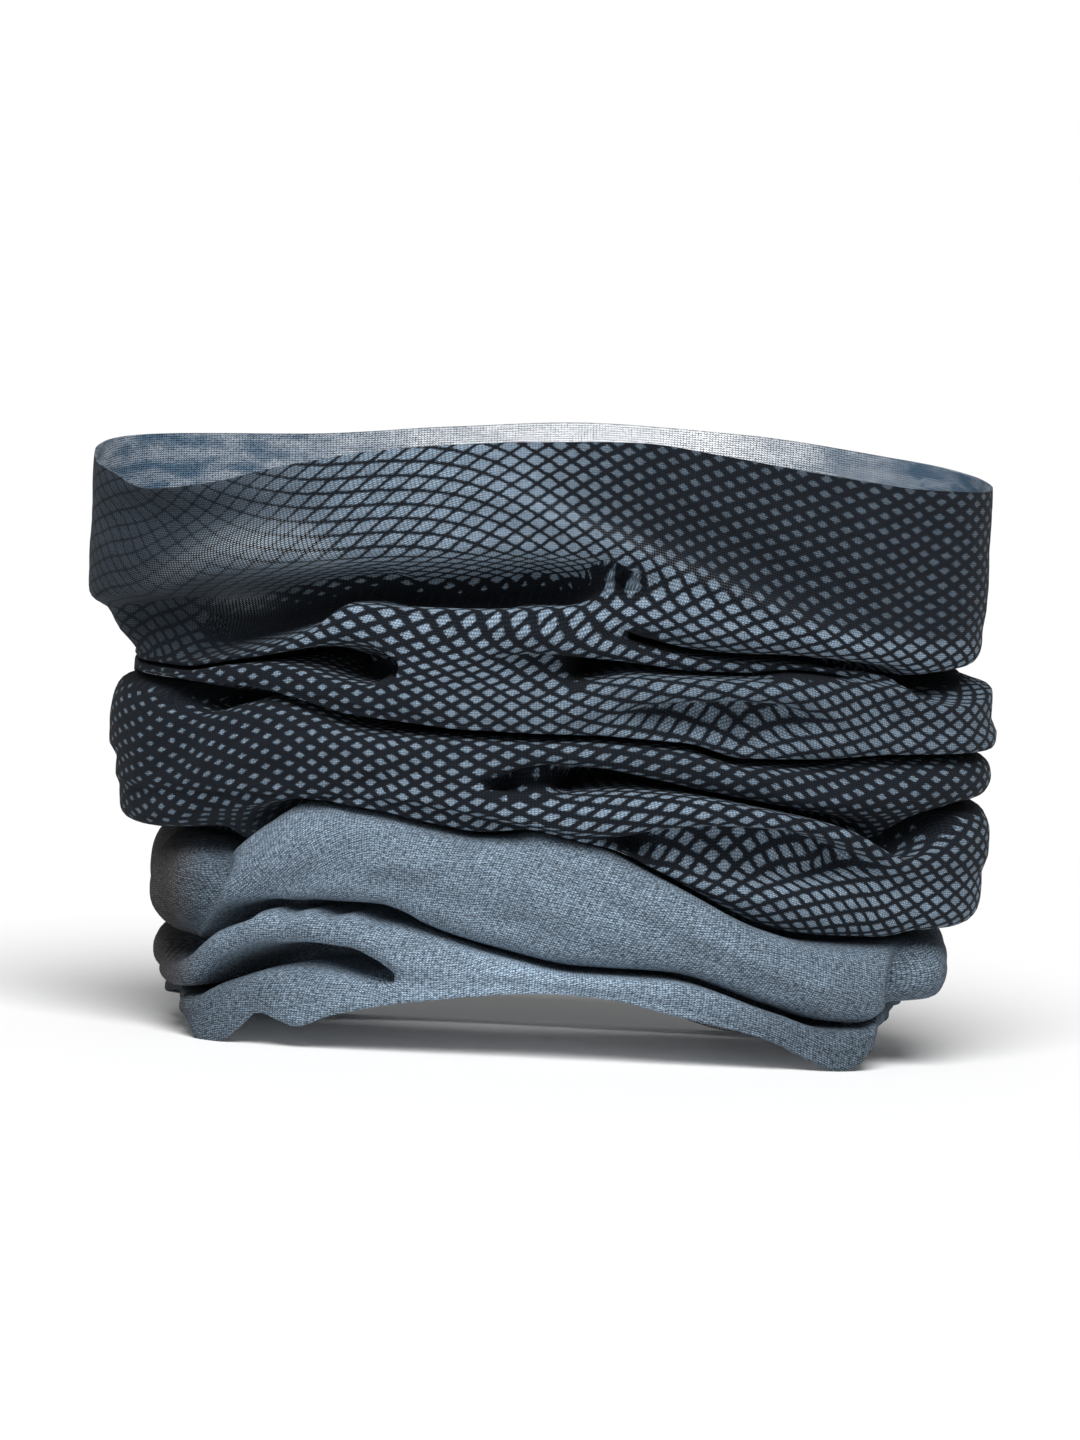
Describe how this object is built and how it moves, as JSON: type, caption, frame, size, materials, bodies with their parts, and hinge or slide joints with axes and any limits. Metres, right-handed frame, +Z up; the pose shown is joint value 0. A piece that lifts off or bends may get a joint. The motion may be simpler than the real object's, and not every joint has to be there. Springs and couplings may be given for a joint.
{
  "type": "neck gaiter",
  "caption": "Seamless knitted tube for the neck, open at both ends, gathered into soft horizontal rolls under a smooth top band that pulls up over the face.",
  "frame": {"origin": "centre of the tube at its base, on the plane that the four feet of its lower edge rest on", "axes": "+Z up along the tube towards the top band's rim, +X to the wearer's left along the tube's long width, -Y the front"},
  "size_m": [0.212, 0.082, 0.144],
  "materials": {
    "scale_print_knit": "matte stretch microfibre knit, dark blue-grey ground printed with small pale blue diamonds",
    "plain_blue_knit": "matte stretch microfibre knit, heathered slate blue"
  },
  "bodies": {
    "hem": {"hem": "plain_blue_knit"},
    "hem_roll": {"hem_roll": "plain_blue_knit"},
    "blue_roll": {"blue_roll": "plain_blue_knit"},
    "belly_roll": {"belly_roll": "scale_print_knit"},
    "middle_roll": {"middle_roll": "scale_print_knit"},
    "side_roll": {"side_roll": "scale_print_knit"},
    "collar_roll": {"collar_roll": "scale_print_knit"},
    "top_band": {"top_band": "scale_print_knit"}
  },
  "joints": [
    {"name": "pull_up", "type": "slide", "parent": "hem", "child": "top_band", "axis": [0, 0, 1], "range_m": [0, 0.12]},
    {"name": "hem_roll_opens", "type": "slide", "parent": "hem", "child": "hem_roll", "axis": [0, 0, 1], "range_m": [0, 0.0048]},
    {"name": "blue_roll_opens", "type": "slide", "parent": "hem", "child": "blue_roll", "axis": [0, 0, 1], "range_m": [0, 0.0192]},
    {"name": "belly_roll_opens", "type": "slide", "parent": "hem", "child": "belly_roll", "axis": [0, 0, 1], "range_m": [0, 0.048]},
    {"name": "middle_roll_opens", "type": "slide", "parent": "hem", "child": "middle_roll", "axis": [0, 0, 1], "range_m": [0, 0.072]},
    {"name": "side_roll_opens", "type": "slide", "parent": "hem", "child": "side_roll", "axis": [0, 0, 1], "range_m": [0, 0.09]},
    {"name": "collar_roll_opens", "type": "slide", "parent": "hem", "child": "collar_roll", "axis": [0, 0, 1], "range_m": [0, 0.108]}
  ],
  "couplings": [
    {"joint": "hem_roll_opens", "follows": "pull_up", "ratio": 0.04},
    {"joint": "blue_roll_opens", "follows": "pull_up", "ratio": 0.16},
    {"joint": "belly_roll_opens", "follows": "pull_up", "ratio": 0.4},
    {"joint": "middle_roll_opens", "follows": "pull_up", "ratio": 0.6},
    {"joint": "side_roll_opens", "follows": "pull_up", "ratio": 0.75},
    {"joint": "collar_roll_opens", "follows": "pull_up", "ratio": 0.9}
  ]
}
